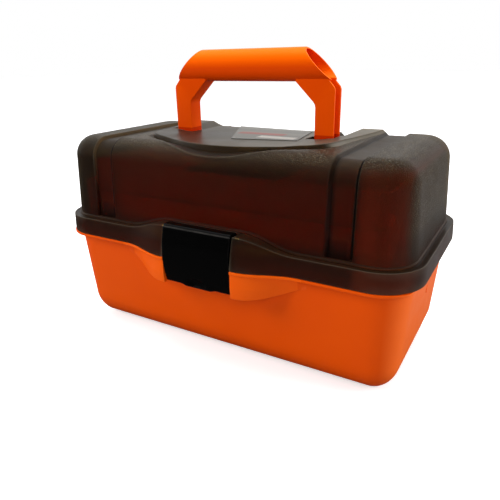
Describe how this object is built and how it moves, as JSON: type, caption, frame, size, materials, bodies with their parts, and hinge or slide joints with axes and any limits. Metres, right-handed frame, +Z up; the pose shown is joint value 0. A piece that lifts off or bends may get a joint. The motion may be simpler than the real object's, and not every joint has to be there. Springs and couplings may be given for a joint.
{
  "type": "fishing tackle box",
  "caption": "Portable tackle box with a hinged smoky lid, cantilever trays that lift as it opens, a front flap latch and a top carrying handle.",
  "frame": {"origin": "centre of the base's flat underside", "axes": "+Z up, X along the length, -Y is the front with the latch, +Y is the hinge side"},
  "size_m": [0.34, 0.1941, 0.2547],
  "materials": {
    "orange_body": "satin moulded polypropylene",
    "smoky_lid": "smoky see-through plastic, lightly textured",
    "black_latch": "satin black moulded plastic",
    "tray_plastic": "satin moulded plastic",
    "divider_plastic": "satin moulded plastic",
    "black_arm": "satin moulded plastic",
    "steel_pin": "plated steel",
    "sticker": "printed film"
  },
  "bodies": {
    "base": {"base_tub": "orange_body", "left_base_rivet": "steel_pin", "right_base_rivet": "steel_pin", "arm_washers": "steel_pin", "left_hinge_pin": "steel_pin", "right_hinge_pin": "steel_pin"},
    "lid": {"lid_shell": "smoky_lid", "handle": "orange_body", "label_sticker": "sticker", "latch_pin": "steel_pin", "lower_lid_pins": "steel_pin", "upper_lid_pins": "steel_pin"},
    "latch": {"latch_flap": "black_latch"},
    "lower_tray": {"lower_tray": "tray_plastic", "lower_tray_dividers": "divider_plastic", "lower_arm_rivets": "steel_pin"},
    "upper_tray": {"upper_tray": "tray_plastic", "upper_tray_dividers": "divider_plastic", "upper_arm_rivets": "steel_pin"},
    "left_arm": {"left_arm": "black_arm"},
    "right_arm": {"right_arm": "black_arm"}
  },
  "joints": [
    {"name": "lid_hinge", "type": "hinge", "parent": "base", "child": "lid", "pos_m": [0, 0.091, 0.0946], "axis": [-1, 0, 0], "range_deg": [0, 100]},
    {"name": "latch_hinge", "type": "hinge", "parent": "lid", "child": "latch", "pos_m": [0, -0.0886, 0.1176], "axis": [-1, 0, 0], "range_deg": [0, 110]},
    {"name": "lower_tray_pivot", "type": "hinge", "parent": "lid", "child": "lower_tray", "pos_m": [0, 0.06202, 0.1114], "axis": [-1, 0, 0], "range_deg": [-100, 0]},
    {"name": "upper_tray_pivot", "type": "hinge", "parent": "lid", "child": "upper_tray", "pos_m": [0, 0.022, 0.1346], "axis": [-1, 0, 0], "range_deg": [-100, 0]},
    {"name": "left_arm_pivot", "type": "hinge", "parent": "base", "child": "left_arm", "pos_m": [-0.1495, 0.009, 0.063], "axis": [-1, 0, 0], "range_deg": [0, 100]},
    {"name": "right_arm_pivot", "type": "hinge", "parent": "base", "child": "right_arm", "pos_m": [0.1495, 0.009, 0.063], "axis": [-1, 0, 0], "range_deg": [0, 100]}
  ],
  "couplings": [
    {"joint": "lower_tray_pivot", "follows": "lid_hinge", "ratio": -1},
    {"joint": "upper_tray_pivot", "follows": "lid_hinge", "ratio": -1},
    {"joint": "left_arm_pivot", "follows": "lid_hinge", "ratio": 1},
    {"joint": "right_arm_pivot", "follows": "lid_hinge", "ratio": 1}
  ]
}
